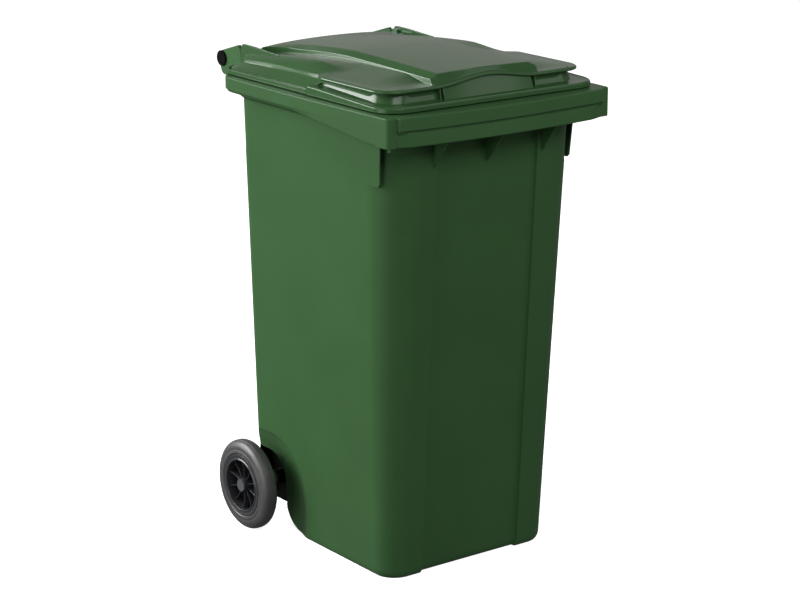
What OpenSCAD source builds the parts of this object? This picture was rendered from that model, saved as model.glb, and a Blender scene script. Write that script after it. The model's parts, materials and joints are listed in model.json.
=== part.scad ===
// Two-wheeled refuse bin with a hinged lid, modelled at real size in millimetres.
// +Z is up, -Y is the front with the lifting lip, +Y is the rear with the handle and wheels.
// The origin is the middle of the footprint on the ground.

/* [Rim] */
// Outer width of the rim
rim_width = 580; // [572:1:588]
// Height of the rim deck above the ground
rim_top = 1003; // [985:1:1020]
// Distance of the rim's front corners from the middle
rim_front = 350; // [346:1:354]
// Distance of the rim's rear edge from the middle
rim_rear = 262; // [258:1:264]
// Drop of the rim skirt along the sides and rear
side_drop = 34; // [28:1:40]
// Drop of the rim skirt at the front
front_drop = 60; // [54:1:66]
// How far the lifting lip stands proud of the front corners
lip_stand = 9; // [6:1:12]
// Forward bow of the lifting lip at its middle
lip_bow = 17; // [10:1:20]

/* [Tub] */
// Tub width at the ground
tub_width_base = 430; // [420:2:440]
// Tub width at the rim
tub_width_top = 503; // [490:1:506]
// Distance of the tub front from the middle at the ground
tub_front_base = 259; // [250:1:268]
// Distance of the tub front from the middle at the rim
tub_front_top = 316; // [305:1:322]
// Distance of the tub rear wall from the middle
tub_rear = 244; // [240:1:248]
// Moulded wall thickness
wall = 4; // [3:0.5:5]
// Width of the recessed front panel
panel_width = 252; // [220:2:272]
// Depth of the recessed front panel
panel_depth = 9; // [5:1:12]

/* [Handle] */
// Distance of the handle and lid hinge axis from the middle
hinge_y = 359; // [350:1:366]
// Height of the handle and lid hinge axis
hinge_z = 1015; // [1010:1:1018]
// Handle grip diameter
grip_diameter = 30; // [26:1:32]
// Hinge pin shaft diameter
pin_diameter = 16; // [12:1:18]

/* [Wheels] */
// Wheel diameter over the tyre
wheel_diameter = 200; // [198:1:202]
// Distance of the axle from the middle
axle_y = 190.6; // [186:0.2:196]
// Axle diameter
axle_diameter = 20; // [18:1:22]
// Outer face of the wheels from the middle plane
wheel_outer = 288; // [286:1:290]
// Wheel width
wheel_width = 40; // [38:1:42]
// Ribs in each wheel
rib_count = 10; // [8:1:12]

/* [Lid] */
// Half width of the lid flange
lid_half_width = 275; // [270:1:278]
// Lid sheet thickness
lid_wall = 3; // [2.5:0.5:4]
// Height of the lid deck
lid_deck = 1044; // [1042:1:1048]
// Height of the crown arc at its highest point
crown_top = 1070; // [1066:1:1072]

/* [Display] */
// Node to draw

/* [Hidden] */
// Facets of round parts that carry a fit, of moulded corners and of very large arcs
$fn = 96;
corner_fn = 32;
arc_fn = 720;
// Overlap used so that joined or cut solids share volume
eps = 0.5;
// How far cutting tools reach past what they cut: across the whole bin, and a short way
beyond = 300;
margin = 60;

rim_half = rim_width / 2;
rim_skirt_front = rim_top - front_drop;
rim_skirt_side = rim_top - side_drop;
rim_front_radius = 10;
rim_rear_radius = 54;
// The rim skirt gets deeper between these two distances from the middle
skirt_step_rear = -113;
skirt_step_front = -283;
skirt_step_drop = 22;

lip_half = 262;
lip_front = rim_front + lip_stand + lip_bow;
lip_radius = (pow(lip_half, 2) + pow(lip_bow, 2)) / (2 * lip_bow);
groove_height = 5;
groove_depth = 3;
groove_bottom = rim_top - 32;

side_lean = atan((tub_width_top - tub_width_base) / 2 / rim_top);
front_lean = atan((tub_front_top - tub_front_base) / rim_top);
floor_thickness = 6;
base_chamfer = 10;
base_chamfer_height = 18;

// Foot: the part of the base that rests on the ground ends in a large round at the rear
foot_radius = 62;
foot_rear = 143;
// Housing behind the foot that carries the axle
housing_half = 175;
housing_bottom = 42;
housing_top = 126;
web_spacing = 87.5;

// Shallow arch in the side walls and the deep well behind each wheel
arch_depth = 18;
arch_radius = 125;
arch_y = 165;
arch_z = 90;
well_radius = 57;
well_y = 200;
well_z = 105;

gusset_spacing = 138.5;
gusset_tip = 880;
gusset_setback = 5;
fin_bottom = 848;
fin_front = -271;
fin_depth = 70;

arm_outer = 205;
arm_thickness = 10;
clevis_gap = 17;
arm_inner = arm_outer - 2 * arm_thickness - clevis_gap;
arm_radius = 17;
arm_foot = 17;
// Shoulder of the outer plates, in front of the hinge
arm_shoulder_front = [hinge_y - 70, hinge_z + 27];
arm_shoulder_top = [hinge_y - 60, hinge_z + 35.5];
// The handle bar hangs in front of the hinge axis and below it
bar_radius = grip_diameter / 2;
bar_y = hinge_y - 8;
bar_z = hinge_z - 20;
pin_radius = pin_diameter / 2;
pin_clearance = 0.06;
pin_head_radius = 16.5;
pin_head = 4;

axle_radius = axle_diameter / 2;
axle_clearance = 0.05;
axle_half = wheel_outer - 5;
axle_z = wheel_diameter / 2;
lock_x = wheel_outer - 26;
lock_groove_radius = axle_radius - 2;
wheel_inner = wheel_outer - wheel_width;
washer_thickness = 3.6;
boss_outer = wheel_inner - washer_thickness - 0.8;

// Wheel: hub, dish with ribs, tyre seat and the flanges that hold the tyre
hub_radius = 14.5;
hub_end = wheel_outer - 4;
dish_radius = 56;
seat_radius = 64;
rim_flange_radius = 71.5;
web_thickness = 4;
rib_thickness = 2;
// Sprung lock pin in its boss, standing in the groove of the axle
lock_radius = 2.5;
lock_boss_radius = 7;
lock_boss_end = 34;
spring_pocket_radius = 4.6;
spring_bottom = 20.4;
spring_top = 31;
// Tyre: solid ring with a rounded tread between stepped sidewalls
tread_half = 11;
tread_bulge = 8;
tread_round = 15;

// Lid: a flange over the rim, a bowl with sloping sides and a deck with an overhanging edge
lid_front = -339;
lid_rear = 274;
lid_corner = 50;
lid_bottom = rim_top + 2;
flange_top = rim_top + 15;
bowl_half = 265;
bowl_front = -327;
bowl_rear = 266;
bowl_corner = 45;
deck_half = 240;
deck_front = -303;
deck_rear = 252;
deck_corner = 40;
lip_edge_half = 257;
lip_edge_front = -305;
lip_edge_rear = -70;
lip_edge_corner = 57;
lip_edge_thickness = 6;
// Arched grip under the front edge
grip_half = 113;
grip_rise = 14;
grip_radius = (pow(grip_half, 2) + pow(grip_rise, 2)) / (2 * grip_rise);
grip_front = lip_edge_front - 4;
grip_depth = 22;
grip_top = lid_deck + 13;
// Crown panel that follows a large arc from front to rear, with a raised ridge on each side
crown_radius = 2694;
crown_y = -122;
crown_half = 118;
crown_front = -285;
crown_rear = 256;
crown_nose = 5;
crown_step = 6;
ridge_inner = 112;
ridge_outer = 140;
ridge_rise = 4;
// Straps from the lid to the hinge
strap_outer = arm_outer - arm_thickness - 1.5;
strap_thickness = clevis_gap - 3;
strap_root = [lid_rear - 50, lid_deck - 6];
strap_rise = [lid_rear - 38, hinge_z + 37];
strap_peak = [hinge_y - 80, hinge_z + 40.5];
strap_chin = [hinge_y - 60, hinge_z - 3];
// Notch between the strap's flank and the shoulder of the handle's plate
notch_low = [hinge_y - 73.5, hinge_z + 27];
notch_heel = [hinge_y - 75, hinge_z + 17];

// Half width, front position and corner radii of the tub at a given level
function tub_half(z) = (tub_width_base + (tub_width_top - tub_width_base) * z / rim_top) / 2;
function tub_front(z) = -(tub_front_base + (tub_front_top - tub_front_base) * z / rim_top);
function front_radius(z) = 52 + 36 * z / rim_top;
function rear_radius(z) = 40 + 10 * z / rim_top;

// Point on a circle, at an angle from the first axis
function on_circle(y, z, radius, angle) = [y + radius * cos(angle), z + radius * sin(angle)];

// Mirror a child to both sides of the middle plane
module both_sides() {
    for (side = [0, 1])
        mirror([side, 0, 0])
            children();
}

// Extrude a (y, z) outline along +X, starting at x
module along_x(x, length) {
    translate([x, 0, 0])
        rotate([90, 0, 90])
            linear_extrude(height = length)
                children();
}

// Cylinder lying along X
module rod_x(x, length, radius) {
    translate([x, 0, 0])
        rotate([0, 90, 0])
            cylinder(h = length, r = radius);
}

// Rectangle with separate front and rear corner radii
module round_plan(half, front, rear, r_front, r_rear) {
    union() {
        translate([-half, front + r_front])
            square([2 * half, rear - front - r_front - r_rear]);
        translate([-half + r_front, front])
            square([2 * (half - r_front), r_front + eps]);
        translate([-half + r_rear, rear - r_rear - eps])
            square([2 * (half - r_rear), r_rear + eps]);
        for (side = [-1, 1]) {
            translate([side * (half - r_front), front + r_front])
                circle(r = r_front);
            translate([side * (half - r_rear), rear - r_rear])
                circle(r = r_rear);
        }
    }
}

// ---------------------------------------------------------------- body

// Four thin corner discs at one level of the tub
module tub_slice(z, inset, thickness = 1) {
    both_sides() {
        translate([tub_half(z) - front_radius(z), tub_front(z) + front_radius(z), z])
            cylinder(h = thickness, r = front_radius(z) - inset, $fn = corner_fn);
        translate([tub_half(z) - rear_radius(z), tub_rear - rear_radius(z), z])
            cylinder(h = thickness, r = rear_radius(z) - inset, $fn = corner_fn);
    }
}

module tub_outside() {
    hull() {
        tub_slice(0, base_chamfer);
        tub_slice(base_chamfer_height, 0);
        tub_slice(rim_top - 1, 0);
    }
}

module tub_inside() {
    hull() {
        tub_slice(floor_thickness, base_chamfer + wall);
        tub_slice(base_chamfer_height + wall, wall);
        tub_slice(rim_top + 5, wall);
    }
}

// Slab standing on the front wall, reaching depth into it
module front_slab(width, depth) {
    translate([0, tub_front(0), 0])
        rotate([front_lean, 0, 0])
            translate([-width / 2, -margin, -margin])
                cube([width, margin + depth, rim_top + 2 * margin]);
}

module arch_outline(grow) {
    translate([arch_y, arch_z])
        circle(r = arch_radius + grow);
    translate([arch_y - arch_radius - grow, -margin])
        square([beyond, arch_z + margin]);
    translate([arch_y, -margin])
        square([beyond, arch_z + arch_radius + grow + margin]);
}

module well_outline(grow) {
    translate([well_y, well_z])
        circle(r = well_radius + grow);
    translate([foot_rear - grow, -margin])
        square([beyond, well_z + margin]);
    translate([well_y, -margin])
        square([beyond, well_z + well_radius + grow + margin]);
}

// Shallow arch in the right side wall, following its slope
module wheel_arch(grow) {
    translate([tub_half(0), 0, 0])
        rotate([0, side_lean, 0])
            along_x(-arch_depth - grow, arch_depth + grow + margin)
                arch_outline(grow);
}

module wheel_well(grow) {
    along_x(housing_half - grow, beyond)
        well_outline(grow);
}

// Space below the rounded rear end of the foot
module foot_round(radius) {
    along_x(-beyond, 2 * beyond)
        difference() {
            translate([foot_rear - foot_radius, -eps])
                square([beyond, foot_radius + eps]);
            translate([foot_rear - foot_radius, foot_radius])
                circle(r = radius);
        }
}

// Everything the inside of the tub must stay clear of
module housing_blocks() {
    front_slab(panel_width + 2 * wall, panel_depth + wall);
    both_sides() {
        wheel_arch(wall);
        wheel_well(wall);
    }
    foot_round(foot_radius - wall);
    translate([-beyond, foot_rear - wall, -1])
        cube([2 * beyond, beyond, housing_top + wall + 1]);
}

// Hollow bays below the raised floor, open downwards, between the axle webs
module housing_bays() {
    bay_y = foot_rear + wall;
    bay_depth = tub_rear - wall - bay_y;
    bay_width = web_spacing - wall;
    for (index = [0 : 3])
        translate([(index - 2) * web_spacing + wall / 2, bay_y, -1])
            cube([bay_width, bay_depth, housing_top + 1]);
}

module tub() {
    difference() {
        tub_outside();
        front_slab(panel_width, panel_depth);
        both_sides() {
            wheel_arch(0);
            wheel_well(0);
        }
        foot_round(foot_radius);
        translate([-beyond, foot_rear, -1])
            cube([2 * beyond, beyond, housing_bottom + 1]);
        difference() {
            tub_inside();
            housing_blocks();
        }
        housing_bays();
    }
}

module rim_plan(inset) {
    round_plan(
        rim_half - inset,
        -rim_front + inset,
        rim_rear - inset,
        rim_front_radius - inset,
        rim_rear_radius - inset
    );
}

// Bowed block that the lifting lip is cut from
module lip_block(half, z, height, inset) {
    intersection() {
        translate([0, -lip_front + lip_radius, z])
            cylinder(h = height, r = lip_radius - inset, $fn = arc_fn);
        translate([-half, -lip_front - margin, z])
            cube([2 * half, lip_front - rim_front + wall + margin, height]);
    }
}

// Space below the skirt, which is deeper at the front than along the sides
module skirt_trim() {
    along_x(-rim_half - margin, rim_width + 2 * margin)
        polygon([
            [skirt_step_rear, rim_skirt_side],
            [rim_rear + margin, rim_skirt_side],
            [rim_rear + margin, rim_skirt_front - margin],
            [skirt_step_front, rim_skirt_front - margin],
            [skirt_step_front, rim_skirt_side - skirt_step_drop],
        ]);
}

module rim() {
    difference() {
        union() {
            translate([0, 0, rim_skirt_front])
                linear_extrude(height = front_drop)
                    rim_plan(0);
            lip_block(lip_half, rim_skirt_front, front_drop, 0);
        }
        translate([0, 0, rim_skirt_front - 1])
            linear_extrude(height = front_drop - wall + 1)
                rim_plan(wall);
        lip_block(lip_half - wall, rim_skirt_front - 1, front_drop - wall + 1, wall);
        difference() {
            translate([-lip_half - 1, -lip_front - margin, groove_bottom])
                cube([2 * lip_half + 2, 2 * margin, groove_height]);
            lip_block(lip_half + 2, groove_bottom - 1, groove_height + 2, groove_depth);
            translate([-rim_half, -rim_front, groove_bottom - 1])
                cube([rim_width, 2 * margin, groove_height + 2]);
        }
        skirt_trim();
        tub_inside();
    }
}

// Triangular plates that stiffen the lifting lip
module gussets() {
    gusset_front = -rim_front - gusset_setback;
    for (x = [-gusset_spacing, 0, gusset_spacing])
        along_x(x - wall / 2, wall)
            polygon([
                [tub_front(gusset_tip) + panel_depth + eps, gusset_tip],
                [tub_front(gusset_tip), gusset_tip],
                [gusset_front, rim_skirt_front - gusset_setback],
                [gusset_front, rim_top - eps],
                [tub_front(rim_top) + panel_depth + eps, rim_top - eps],
            ]);
}

// Upright plates that carry the side walls forward under the rim corners
module corner_fins() {
    both_sides()
        translate([tub_half(0), 0, 0])
            rotate([0, side_lean, 0])
                translate([-wall, fin_front, fin_bottom])
                    cube([wall, fin_depth, rim_top - wall / 2 - fin_bottom]);
}

// Outline of one handle plate in (y, z), with its corners between the rim and the hinge
module arm_outline(shoulder) {
    translate([hinge_y, hinge_z])
        circle(r = arm_radius);
    translate([bar_y, bar_z])
        circle(r = bar_radius + eps);
    polygon(concat(
        [[rim_rear - wall / 2, rim_skirt_side]],
        [[rim_rear - wall / 2, rim_top - wall / 2], [rim_rear + arm_foot, rim_top - wall / 2]],
        shoulder,
        [on_circle(hinge_y, hinge_z, arm_radius, 74), on_circle(hinge_y, hinge_z, arm_radius, -8)],
        [on_circle(bar_y, bar_z, bar_radius, -12), on_circle(bar_y, bar_z, bar_radius, -100)]
    ));
}

module handle_arms() {
    both_sides() {
        along_x(arm_outer - arm_thickness, arm_thickness)
            arm_outline([arm_shoulder_front, arm_shoulder_top]);
        along_x(arm_inner, arm_thickness)
            arm_outline([]);
    }
}

module handle_bar() {
    translate([0, bar_y, bar_z])
        rod_x(-arm_inner - 1, 2 * arm_inner + 2, bar_radius);
}

module axle_bosses() {
    boss_radius = axle_radius + 7;
    web_boss = 18;
    translate([0, axle_y, axle_z])
        both_sides() {
            rod_x(housing_half - wall, boss_outer - housing_half + wall, boss_radius);
            rod_x(web_spacing - web_boss / 2, web_boss, boss_radius);
        }
    translate([0, axle_y, axle_z])
        rod_x(-web_boss / 2, web_boss, boss_radius);
}

module body() {
    color("DarkGreen")
        difference() {
            union() {
                tub();
                rim();
                gussets();
                corner_fins();
                handle_arms();
                handle_bar();
                axle_bosses();
            }
            translate([0, axle_y, axle_z])
                rod_x(-rim_half, rim_width, axle_radius + axle_clearance);
            translate([0, hinge_y, hinge_z])
                both_sides()
                    rod_x(arm_inner + 1, margin, pin_radius + pin_clearance);
        }
}

// ---------------------------------------------------------------- lid

// Plan of the bowl where it stands on the flange
module bowl_plan(inset) {
    round_plan(
        bowl_half - inset,
        bowl_front + inset,
        bowl_rear - inset,
        bowl_corner - inset,
        bowl_corner - inset
    );
}

module deck_plan(inset) {
    round_plan(
        deck_half - inset,
        deck_front + inset,
        deck_rear - inset,
        deck_corner - inset,
        deck_corner - inset
    );
}

// Block with sloping sides between the flange and the deck
module lid_bowl(inset) {
    slice = 1;
    hull() {
        translate([0, 0, flange_top - slice])
            linear_extrude(height = slice)
                bowl_plan(inset);
        translate([0, 0, lid_deck - inset - slice])
            linear_extrude(height = slice)
                deck_plan(inset);
    }
}

// Way into the bowl through the flange
module bowl_mouth() {
    translate([0, 0, lid_bottom - 1])
        linear_extrude(height = flange_top - lid_bottom + 1)
            bowl_plan(lid_wall);
}

// Solid under the crown arc between two distances from the middle plane
module crown_block(inner, outer, rise, inset) {
    face = crown_front + rise + inset;
    base = lid_deck - 2 * lid_wall;
    intersection() {
        translate([0, crown_y, crown_top - crown_radius])
            rod_x(inner, outer - inner, crown_radius + rise - inset, $fn = arc_fn);
        along_x(inner, outer - inner)
            polygon([
                [face, crown_top + margin],
                [face, crown_top - crown_nose],
                [deck_front + crown_step + inset, base],
                [crown_rear - inset, base],
                [crown_rear - inset, crown_top + margin],
            ]);
    }
}

module crown_solid(inset) {
    crown_block(inset - crown_half, crown_half - inset, 0, inset);
    both_sides()
        crown_block(ridge_inner + inset, ridge_outer - inset, ridge_rise, inset);
}

// Rim of the lid that sits over the tub rim
module lid_flange() {
    difference() {
        translate([0, 0, lid_bottom])
            linear_extrude(height = flange_top - lid_bottom)
                round_plan(lid_half_width, lid_front, lid_rear, lid_corner, lid_corner);
        translate([0, 0, lid_bottom - 1])
            linear_extrude(height = flange_top - lid_bottom - lid_wall + 1)
                round_plan(
                    lid_half_width - lid_wall,
                    lid_front + lid_wall,
                    lid_rear - lid_wall,
                    lid_corner - lid_wall,
                    lid_corner - lid_wall
                );
    }
}

// Thin edge that overhangs the front half of the lid and is lifted by hand
module lid_edge() {
    translate([0, 0, lid_deck - lip_edge_thickness])
        linear_extrude(height = lip_edge_thickness)
            round_plan(
                lip_edge_half,
                lip_edge_front,
                lip_edge_rear,
                lip_edge_corner,
                rim_front_radius
            );
}

// Arched hand grip at the front of the lid
module grip_arch(inset) {
    front = grip_front + inset;
    intersection() {
        translate([0, front, grip_top - grip_radius])
            rotate([-90, 0, 0])
                cylinder(h = grip_depth, r = grip_radius - inset, $fn = arc_fn);
        translate([inset - grip_half, front, flange_top - lid_wall])
            cube([2 * (grip_half - inset), grip_depth, grip_top - flange_top]);
    }
}

// Arm that reaches back from the lid to the hinge axis
module strap_outline() {
    translate([hinge_y, hinge_z])
        circle(r = arm_radius);
    polygon([
        strap_root,
        strap_rise,
        strap_peak,
        on_circle(hinge_y, hinge_z, arm_radius, 70),
        on_circle(hinge_y, hinge_z, arm_radius, -83),
        strap_chin,
        [lid_rear - 12, flange_top - lid_wall],
        [lid_rear - 30, flange_top],
    ]);
}

module strap_flank_outline() {
    polygon([
        strap_root,
        strap_rise,
        strap_peak,
        notch_low,
        notch_heel,
        [lid_rear - 2, flange_top - 1],
        [lid_rear - 30, flange_top - 1],
    ]);
}

module lid_straps() {
    both_sides() {
        along_x(strap_outer - strap_thickness, strap_thickness)
            strap_outline();
        along_x(strap_outer - eps, arm_outer - strap_outer + eps)
            strap_flank_outline();
    }
}

module lid() {
    color("ForestGreen")
        difference() {
            union() {
                lid_flange();
                lid_bowl(0);
                lid_edge();
                crown_solid(0);
                grip_arch(0);
                lid_straps();
            }
            difference() {
                union() {
                    bowl_mouth();
                    lid_bowl(lid_wall);
                    crown_solid(lid_wall);
                    grip_arch(lid_wall);
                }
                lid_straps();
            }
            translate([0, hinge_y, hinge_z])
                both_sides()
                    rod_x(strap_outer - strap_thickness - 1, margin, pin_radius + pin_clearance);
        }
}

// ---------------------------------------------------------------- hinge pins

// Right-hand pin: shaft through arm, lid strap and inner arm, with a round head outside
module hinge_pin() {
    shaft_end = arm_inner + 2;
    color("Black")
        translate([0, hinge_y, hinge_z]) {
            rod_x(shaft_end, arm_outer - shaft_end + pin_head / 2, pin_radius);
            rod_x(arm_outer, pin_head, pin_head_radius);
        }
}

module hinge_pin_right() {
    hinge_pin();
}

module hinge_pin_left() {
    mirror([1, 0, 0])
        hinge_pin();
}

// ---------------------------------------------------------------- axle and wheels

// Move a part drawn along +X on the X axis onto the axle line
module on_axle() {
    translate([0, axle_y, axle_z])
        children();
}

module axle() {
    groove_width = 6.4;
    end_chamfer = 1.5;
    color("Silver")
        on_axle()
            difference() {
                union() {
                    rod_x(-axle_half + end_chamfer, 2 * (axle_half - end_chamfer), axle_radius);
                    both_sides()
                        translate([axle_half - end_chamfer - 0.001, 0, 0])
                            rotate([0, 90, 0])
                                cylinder(h = end_chamfer, r1 = axle_radius, r2 = axle_radius - end_chamfer);
                }
                both_sides()
                    difference() {
                        rod_x(lock_x - groove_width / 2, groove_width, axle_radius + 1);
                        rod_x(lock_x - groove_width, 2 * groove_width, lock_groove_radius);
                    }
            }
}

module axle_washer() {
    color("Gray")
        on_axle()
            difference() {
                rod_x(boss_outer + 0.3, washer_thickness, 19);
                rod_x(boss_outer, washer_thickness + 2, axle_radius + 0.2);
            }
}

// Ring, hub and web of the wheel as one turned profile in (radius, x)
module wheel_profile() {
    square_hub = [hub_radius - axle_radius + 1, hub_end - wheel_inner];
    translate([axle_radius - 1, wheel_inner])
        square(square_hub);
    translate([hub_radius - 1, wheel_inner + 6])
        square([dish_radius - hub_radius + 2, web_thickness]);
    polygon([
        [dish_radius, wheel_inner + 2],
        [rim_flange_radius, wheel_inner + 2],
        [rim_flange_radius, wheel_inner + 6],
        [seat_radius, wheel_inner + 10],
        [seat_radius, wheel_outer - 9],
        [rim_flange_radius - 2, wheel_outer - 5],
        [rim_flange_radius - 2, wheel_outer - 1],
        [dish_radius + 3, wheel_outer],
        [dish_radius, wheel_outer - 3],
    ]);
}

// One radial rib: full depth at the hub, a little lower at the ring
module wheel_rib() {
    rotate([90, 0, 0])
        translate([0, 0, -rib_thickness / 2])
            linear_extrude(height = rib_thickness)
                polygon([
                    [wheel_inner + 8, hub_radius - 2],
                    [hub_end - 6, hub_radius - 2],
                    [hub_end - 3, dish_radius + 1],
                    [wheel_inner + 8, dish_radius + 1],
                ]);
}

module wheel_rim() {
    color("DimGray")
        on_axle()
            difference() {
                union() {
                    rotate([0, 90, 0])
                        rotate_extrude()
                            wheel_profile();
                    for (index = [0 : rib_count - 1])
                        rotate([(index + 0.5) * 360 / rib_count, 0, 0])
                            wheel_rib();
                    translate([lock_x, 0, axle_radius])
                        cylinder(h = lock_boss_end - axle_radius, r = lock_boss_radius);
                }
                rod_x(wheel_inner - 1, wheel_width + 2, axle_radius + axle_clearance);
                translate([lock_x, 0, 0])
                    cylinder(h = spring_bottom, r = lock_radius + 0.1);
                translate([lock_x, 0, spring_bottom - 4])
                    cylinder(h = spring_top - spring_bottom + 4.2, r = spring_pocket_radius);
            }
}

// Solid rubber tyre with stepped sidewalls, as one turned profile in (radius, x)
module tyre_profile() {
    shoulder = wheel_diameter / 2 - tread_round;
    middle = wheel_outer - wheel_width / 2;
    polygon(concat(
        [[seat_radius, wheel_inner + 10], [rim_flange_radius, wheel_inner + 6]],
        [[rim_flange_radius + 0.1, wheel_inner + 2.5], [rim_flange_radius + 4, wheel_inner + 1.5]],
        [[rim_flange_radius + 8, wheel_inner + 1]],
        [for (angle = [0 : 10 : 90])
            [shoulder + tread_round * sin(angle), middle - tread_half - tread_bulge * cos(angle)]],
        [for (angle = [90 : -10 : 0])
            [shoulder + tread_round * sin(angle), middle + tread_half + tread_bulge * cos(angle)]],
        [[rim_flange_radius + 8, wheel_outer - 1], [rim_flange_radius + 4, wheel_outer - 1.5]],
        [[rim_flange_radius - 1.9, wheel_outer - 2], [rim_flange_radius - 2, wheel_outer - 5]],
        [[seat_radius, wheel_outer - 9]]
    ));
}

module tyre() {
    color("DarkSlateGray")
        on_axle()
            rotate([0, 90, 0])
                rotate_extrude()
                    tyre_profile();
}

module hub_cap() {
    color("Gray")
        on_axle() {
            rod_x(hub_end, wheel_outer - 0.3 - hub_end, hub_radius - 1);
            rod_x(axle_half + 0.3, hub_end - axle_half, axle_radius - 0.4);
        }
}

// Sprung pin that holds the wheel on the axle by standing in the axle's groove
module wheel_lock_pin() {
    color("Silver")
        on_axle()
            translate([lock_x, 0, 0]) {
                translate([0, 0, lock_groove_radius + 0.3])
                    cylinder(h = spring_bottom - lock_groove_radius - 1, r = lock_radius);
                translate([0, 0, spring_bottom - 3.5])
                    cylinder(h = 3, r = spring_pocket_radius - 0.4);
            }
}

module wheel_lock_spring() {
    turns = 4;
    wire_radius = 0.6;
    color("Silver")
        on_axle()
            translate([lock_x, 0, spring_bottom])
                linear_extrude(
                    height = spring_top - spring_bottom,
                    twist = -360 * turns,
                    slices = 16 * turns,
                    $fn = 8
                )
                    translate([spring_pocket_radius - 1.6, 0])
                        circle(r = wire_radius);
}

module axle_washer_right() {
    axle_washer();
}

module axle_washer_left() {
    mirror([1, 0, 0])
        axle_washer();
}

module wheel_rim_right() {
    wheel_rim();
}

module wheel_rim_left() {
    mirror([1, 0, 0])
        wheel_rim();
}

module tyre_right() {
    tyre();
}

module tyre_left() {
    mirror([1, 0, 0])
        tyre();
}

module hub_cap_right() {
    hub_cap();
}

module hub_cap_left() {
    mirror([1, 0, 0])
        hub_cap();
}

module lock_pin_right() {
    wheel_lock_pin();
}

module lock_pin_left() {
    mirror([1, 0, 0])
        wheel_lock_pin();
}

module lock_spring_right() {
    wheel_lock_spring();
}

module lock_spring_left() {
    mirror([1, 0, 0])
        wheel_lock_spring();
}

body();
lid();
hinge_pin_left();
hinge_pin_right();
axle();
axle_washer_left();
axle_washer_right();
wheel_rim_left();
wheel_rim_right();
tyre_left();
tyre_right();
hub_cap_left();
hub_cap_right();
lock_pin_left();
lock_pin_right();
lock_spring_left();
lock_spring_right();
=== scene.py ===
"""Looks of a two-wheeled refuse bin: moulded body and lid, rubber-tyred wheels, hinge pins and axle.

Lengths in this file are millimetres in the frame of the CAD model, and become metres when a mesh is made.
+Z is up, -Y is the front with the lifting lip, +Y is the rear with the handle.
"""
import json
import math

import bmesh
import bpy
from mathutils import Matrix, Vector


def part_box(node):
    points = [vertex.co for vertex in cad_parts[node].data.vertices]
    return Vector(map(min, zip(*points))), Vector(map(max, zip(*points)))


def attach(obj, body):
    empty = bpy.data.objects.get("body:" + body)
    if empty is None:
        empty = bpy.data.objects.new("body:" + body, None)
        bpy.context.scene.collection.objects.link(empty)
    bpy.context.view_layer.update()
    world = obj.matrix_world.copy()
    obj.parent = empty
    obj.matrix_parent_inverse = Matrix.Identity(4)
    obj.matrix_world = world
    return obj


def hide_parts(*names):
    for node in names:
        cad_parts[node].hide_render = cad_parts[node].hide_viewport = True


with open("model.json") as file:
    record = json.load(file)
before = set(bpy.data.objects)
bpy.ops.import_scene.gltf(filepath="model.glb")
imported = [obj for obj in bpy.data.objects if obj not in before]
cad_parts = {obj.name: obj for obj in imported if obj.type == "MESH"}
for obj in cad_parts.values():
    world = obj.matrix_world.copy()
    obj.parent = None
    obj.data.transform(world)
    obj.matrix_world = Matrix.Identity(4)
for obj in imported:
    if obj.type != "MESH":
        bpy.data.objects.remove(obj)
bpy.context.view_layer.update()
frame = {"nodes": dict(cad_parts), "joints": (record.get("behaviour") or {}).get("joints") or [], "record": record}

MM = 0.001


def box_mm(node):
    """Lowest and highest corner of a CAD node in millimetres."""
    low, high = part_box(node)
    return low / MM, high / MM


def joint_point(name):
    """A point on a joint's axis in millimetres."""
    found = next(j for j in frame["joints"] if j["name"] == name)
    return Vector(found["pos_m"]) / MM


body_low, body_high = box_mm("body")
lid_high = box_mm("lid")[1]
tyre_high = box_mm("tyre_right")[1]
wheel_low, wheel_high = box_mm("wheel_rim_right")
hinge = joint_point("lid_hinge")
wheel = joint_point("wheel_right_spin")

# ------ sizes shared by the pieces

# Rim of the tub, whose long sides bow outwards
RIM_HALF = body_high.x
RIM_TOP = 1003
RIM_FRONT = -350
RIM_REAR = 262
SIDE_BOW = 6.4
RIM_CORNER_HALF = RIM_HALF - SIDE_BOW
BOW_MIDDLE = -44
BOW_REACH = 306

# Tub, which gets wider and deeper towards its rim and has a shallow panel in its front
TUB_REAR = 244
TUB_HALF_BASE = 215
TUB_HALF_TOP = 251.5
TUB_FRONT_BASE = -259
TUB_FRONT_TOP = -316
TUB_FRONT_CORNER = (52, 88)
TUB_REAR_CORNER = (40, 50)
WALL = 4
PANEL_HALF = 126
PANEL_DEPTH = 9
SIDE_LEAN = math.atan((TUB_HALF_TOP - TUB_HALF_BASE) / RIM_TOP)

# Handle arms, each of two plates round the hinge, and the bar between them
ARM_OUTER = 205
ARM_THICKNESS = 10
ARM_INNER = 168
ARM_RADIUS = 16.9
BAR_RADIUS = 15
BAR_Y = hinge.y - 8
BAR_Z = hinge.z - 20
PIN_BORE = 8.06

# How far cutting tools reach past the tub's sides and rear, and below the rim
BEYOND = 320
UNDER_RIM = 900


# ------ mesh helpers

def make_object(name, points, faces):
    """Mesh object from points in millimetres, with its faces turned outwards."""
    mesh = bpy.data.meshes.new(name)
    mesh.from_pydata([Vector(p) * MM for p in points], [], faces)
    bm = bmesh.new()
    bm.from_mesh(mesh)
    bmesh.ops.recalc_face_normals(bm, faces=bm.faces)
    bm.to_mesh(mesh)
    bm.free()
    obj = bpy.data.objects.new(name, mesh)
    bpy.context.scene.collection.objects.link(obj)
    return obj


def arc(x, y, radius, start, end, steps):
    """Points on an arc between two angles in degrees, both ends included."""
    angles = [math.radians(start + (end - start) * i / steps) for i in range(steps + 1)]
    return [(x + radius * math.cos(a), y + radius * math.sin(a)) for a in angles]


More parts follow.
